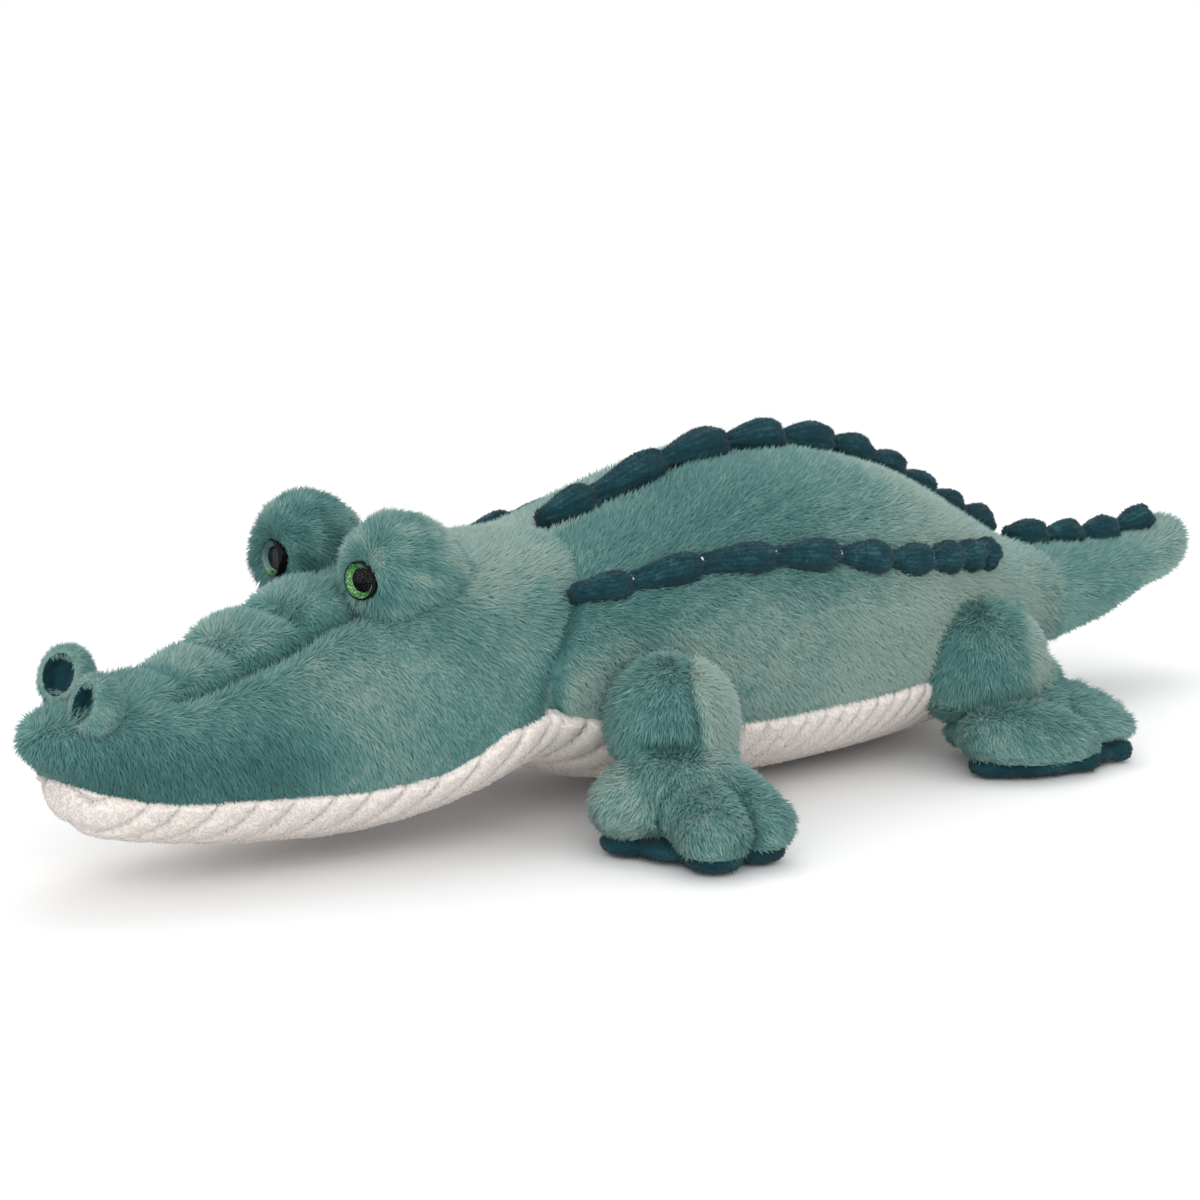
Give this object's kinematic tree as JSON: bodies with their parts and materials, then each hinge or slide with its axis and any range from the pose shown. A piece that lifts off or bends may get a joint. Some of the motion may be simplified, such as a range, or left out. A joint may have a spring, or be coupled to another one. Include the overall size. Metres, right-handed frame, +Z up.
{
  "type": "plush crocodile",
  "caption": "Lying plush crocodile with a long quilted snout, gathered back ridges, three-toed padded feet and moulded eyes.",
  "frame": {"origin": "on the floor, under the middle of the toy", "axes": "+Z up; the snout points along -Y; +X is the crocodile's left"},
  "size_m": [0.2646, 0.567, 0.1265],
  "materials": {
    "teal_plush": "dense faux-fur plush with a 5 mm pile",
    "dark_velour": "short velour",
    "cream_cloth": "ribbed minky plush",
    "fibre": "white polyester fibre",
    "eye_plastic": "clear polished dome over a black pupil",
    "eye_glitter": "green glitter film",
    "nylon": "moulded nylon"
  },
  "bodies": {
    "torso": {"body_cover": "teal_plush", "belly_panel": "cream_cloth", "body_filling": "fibre", "spine_ridge": "dark_velour", "side_ridge_left": "dark_velour", "side_ridge_right": "dark_velour"},
    "head": {"head_cover": "teal_plush", "jaw_panel": "cream_cloth", "head_filling": "fibre", "snout_bridge": "teal_plush", "eye_mound_left": "teal_plush", "eye_mound_filling_left": "fibre", "eye_lens_left": "eye_plastic", "eye_iris_left": "eye_glitter", "eye_washer_left": "nylon", "nostril_hood_left": "teal_plush", "nostril_lining_left": "dark_velour", "eye_mound_right": "teal_plush", "eye_mound_filling_right": "fibre", "eye_lens_right": "eye_plastic", "eye_iris_right": "eye_glitter", "eye_washer_right": "nylon", "nostril_hood_right": "teal_plush", "nostril_lining_right": "dark_velour"},
    "tail": {"tail_cover": "teal_plush", "tail_filling": "fibre", "tail_ridge": "dark_velour"},
    "front_leg_left": {"front_leg_cover_left": "teal_plush", "front_foot_cover_left": "teal_plush", "front_sole_left": "dark_velour", "front_leg_filling_left": "fibre"},
    "front_leg_right": {"front_leg_cover_right": "teal_plush", "front_foot_cover_right": "teal_plush", "front_sole_right": "dark_velour", "front_leg_filling_right": "fibre"},
    "rear_leg_left": {"rear_leg_cover_left": "teal_plush", "rear_foot_cover_left": "teal_plush", "rear_sole_left": "dark_velour", "rear_leg_filling_left": "fibre"},
    "rear_leg_right": {"rear_leg_cover_right": "teal_plush", "rear_foot_cover_right": "teal_plush", "rear_sole_right": "dark_velour", "rear_leg_filling_right": "fibre"}
  },
  "joints": [
    {"name": "neck_turn", "type": "hinge", "parent": "torso", "child": "head", "pos_m": [0, -0.118, 0.056], "axis": [0, 0, 1], "range_deg": [-8, 8], "stiffness_Nm_per_rad": 0.3},
    {"name": "tail_wag", "type": "hinge", "parent": "torso", "child": "tail", "pos_m": [0, 0.1375, 0.042], "axis": [0, 0, 1], "range_deg": [-12, 12], "stiffness_Nm_per_rad": 0.15},
    {"name": "front_leg_left_swing", "type": "hinge", "parent": "torso", "child": "front_leg_left", "pos_m": [0.074, -0.0665, 0.042], "axis": [1, 0, 0], "range_deg": [-11, 11], "stiffness_Nm_per_rad": 0.6},
    {"name": "front_leg_right_swing", "type": "hinge", "parent": "torso", "child": "front_leg_right", "pos_m": [-0.074, -0.0665, 0.042], "axis": [1, 0, 0], "range_deg": [-11, 11], "stiffness_Nm_per_rad": 0.6},
    {"name": "rear_leg_left_swing", "type": "hinge", "parent": "torso", "child": "rear_leg_left", "pos_m": [0.062, 0.1005, 0.042], "axis": [1, 0, 0], "range_deg": [-11, 11], "stiffness_Nm_per_rad": 0.6},
    {"name": "rear_leg_right_swing", "type": "hinge", "parent": "torso", "child": "rear_leg_right", "pos_m": [-0.062, 0.1005, 0.042], "axis": [1, 0, 0], "range_deg": [-11, 11], "stiffness_Nm_per_rad": 0.6}
  ]
}
